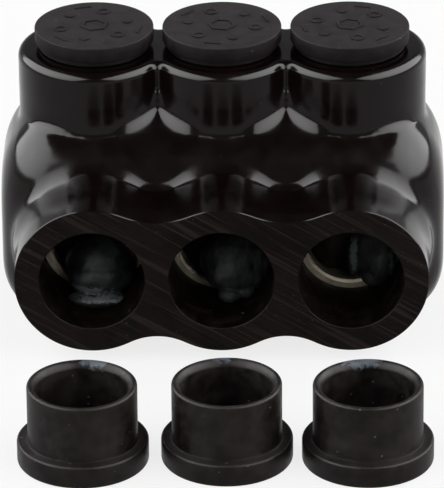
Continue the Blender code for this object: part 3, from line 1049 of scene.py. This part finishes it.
put(boot_moulding(), "boot", "boot", [SKIN, CUT, WALL], "insulating_boot")
put(tapped_block(), "boot", "block", [BLOCK_METAL], "connector_block")

first_screw = set_screw()
first_cap = screw_cap()
first_stopper = port_stopper()
for side, x, turn, at in zip(SIDES, PORT_X, TURNS, STOPPER_AT):
    put(copied(first_screw, "threaded_screw_" + side, (x, 0, 0), turn),
        "screw_" + side, "screw", [SCREW_METAL], "set_screw_" + side)
    put(copied(first_cap, "tower_cap_" + side, (x, 0, 0), turn),
        "cap_" + side, "cap", [CAP], "screw_cap_" + side)
    put(copied(first_stopper, "cup_stopper_" + side, (*at, 0), turn),
        "boot", "stopper", [STOPPER], "port_plug_" + side)
for master in (first_screw, first_cap, first_stopper):
    bpy.data.objects.remove(master, do_unlink=True)

pastes = [(paste_left(), PASTE_WET), (paste_middle(), PASTE_DRY), (paste_right(), PASTE_DRY)]
pastes += [(bore_filling(side, x), PASTE_OLD) for side, x in zip(SIDES, PORT_X)]
for paste, finish in pastes:
    paste.data.materials.append(finish)
    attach(paste, "boot")


# Floor, light and camera

PANEL_WIDE, PANEL_HIGH = 2.00, 0.86     # metres
PANEL_TURN, PANEL_RISE, PANEL_FAR = 80.0, 39.0, 0.80
PANEL_LIGHT = 1.60
SHEEN_LIGHT = 5.6                       # seen in gloss only: the hot middle of a lamp's face
SHEEN_SPREAD = 132.0                    # degrees, so that the face grows dimmer towards its rim
SHEEN_NEARER = 0.97                     # it stands just before the panel
ROOM_LIGHT, CEILING_LIGHT = 0.34, 0.10
FLOOR_WIDE = 12.0                       # metres
FLOOR_COLOUR = (0.90, 0.90, 0.902, 1)
FLOOR_GLOW = 0.80                       # how far the floor is seen as plain white, shadow and all

PHOTO_WIDE = 444.0                      # pixels
PIXELS_PER_MM = 4.825                   # at the point that the camera looks at
EYE_AT = (-0.38, 0.0, 8.56)             # that point
EYE_FAR = 1100.0
EYE_TURN, EYE_RISE, EYE_ROLL = 0.88, 25.9, -0.53        # degrees
SENSOR = 36.0


def floor():
    bpy.ops.mesh.primitive_plane_add(size=FLOOR_WIDE, location=(0, 0, 0))
    sheet = bpy.context.object
    sheet.name = "floor"
    material = bpy.data.materials.new("pale_floor")
    material.use_nodes = True
    tree = material.node_tree
    shader = tree.nodes["Principled BSDF"]
    shader.inputs["Base Color"].default_value = FLOOR_COLOUR
    shader.inputs["Roughness"].default_value = 0.9
    shader.inputs["Specular IOR Level"].default_value = 0.1
    # white as the eye, gloss and glass see it, with the object's shadow kept in it
    glow = tree.nodes.new("ShaderNodeEmission")
    glow.inputs["Strength"].default_value = 1.0
    ray = tree.nodes.new("ShaderNodeLightPath").outputs
    mirrored = maths(tree, "MAXIMUM", ray["Is Glossy Ray"], ray["Is Transmission Ray"])
    seen = maths(tree, "MAXIMUM", ray["Is Camera Ray"], mirrored)
    both = tree.nodes.new("ShaderNodeMixShader")
    link(tree, maths(tree, "MULTIPLY", seen, FLOOR_GLOW), both.inputs[0])
    link(tree, shader.outputs[0], both.inputs[1])
    link(tree, glow.outputs[0], both.inputs[2])
    link(tree, both.outputs[0], tree.nodes["Material Output"].inputs["Surface"])
    sheet.data.materials.append(material)


def panel(name, place, radiance):
    """A large soft panel that faces the object; its face gives the same light whatever its size."""
    lamp = bpy.data.lights.new(name, "AREA")
    lamp.shape = "RECTANGLE"
    lamp.size, lamp.size_y = PANEL_WIDE, PANEL_HIGH
    lamp.energy = radiance * math.pi * PANEL_WIDE * PANEL_HIGH
    holder = bpy.data.objects.new(name, lamp)
    bpy.context.scene.collection.objects.link(holder)
    holder.location = place
    holder.rotation_euler = (place - Vector((0, -0.01, 0.03))).to_track_quat("Z", "Y").to_euler()
    holder.visible_camera = False
    return holder


def heading(turn, rise):
    """The way from the object to what stands this far round from the front and this far up."""
    return Vector((math.sin(turn) * math.cos(rise), -math.cos(turn) * math.cos(rise), math.sin(rise)))


def studio():
    """Two panels beside the object, a dim room above the horizon and a dark ceiling."""
    world = bpy.data.worlds.new("studio")
    bpy.context.scene.world = world
    world.use_nodes = True
    tree = world.node_tree
    sky = tree.nodes["Background"]
    way = tree.nodes.new("ShaderNodeTexCoord")
    split = tree.nodes.new("ShaderNodeSeparateXYZ")
    link(tree, way.outputs["Generated"], split.inputs[0])
    shade = spread(tree, split.outputs["Z"], 0.25, 0.75, ROOM_LIGHT, CEILING_LIGHT)
    tone = tree.nodes.new("ShaderNodeCombineColor")
    for k in range(3):
        link(tree, shade, tone.inputs[k])
    link(tree, tone.outputs[0], sky.inputs["Color"])
    sky.inputs["Strength"].default_value = 1.0
    for side, turn in (("left", -PANEL_TURN), ("right", PANEL_TURN)):
        place = heading(math.radians(turn), math.radians(PANEL_RISE)) * PANEL_FAR
        panel("panel_" + side, place, PANEL_LIGHT)
        sheen = panel("sheen_" + side, place * SHEEN_NEARER, SHEEN_LIGHT)
        sheen.visible_diffuse = False
        sheen.data.spread = math.radians(SHEEN_SPREAD)


def camera():
    turn, rise, roll = (math.radians(a) for a in (EYE_TURN, EYE_RISE, EYE_ROLL))
    back = heading(turn, rise)
    right = (-back).cross(Vector((0, 0, 1))).normalized()
    up = right.cross(-back)
    right, up = (right * math.cos(roll) + up * math.sin(roll), up * math.cos(roll) - right * math.sin(roll))
    lens = bpy.data.cameras.new("camera")
    lens.sensor_fit = "HORIZONTAL"
    lens.sensor_width = SENSOR
    lens.lens = PIXELS_PER_MM * EYE_FAR * SENSOR / PHOTO_WIDE
    lens.clip_start, lens.clip_end = 0.05, 20.0
    eye = bpy.data.objects.new("camera", lens)
    bpy.context.scene.collection.objects.link(eye)
    place = (Vector(EYE_AT) + back * EYE_FAR) * MM
    eye.matrix_world = Matrix.Translation(place) @ Matrix((right, up, back)).transposed().to_4x4()
    bpy.context.scene.camera = eye


floor()
studio()
camera()
bpy.context.scene.view_settings.view_transform = "Standard"
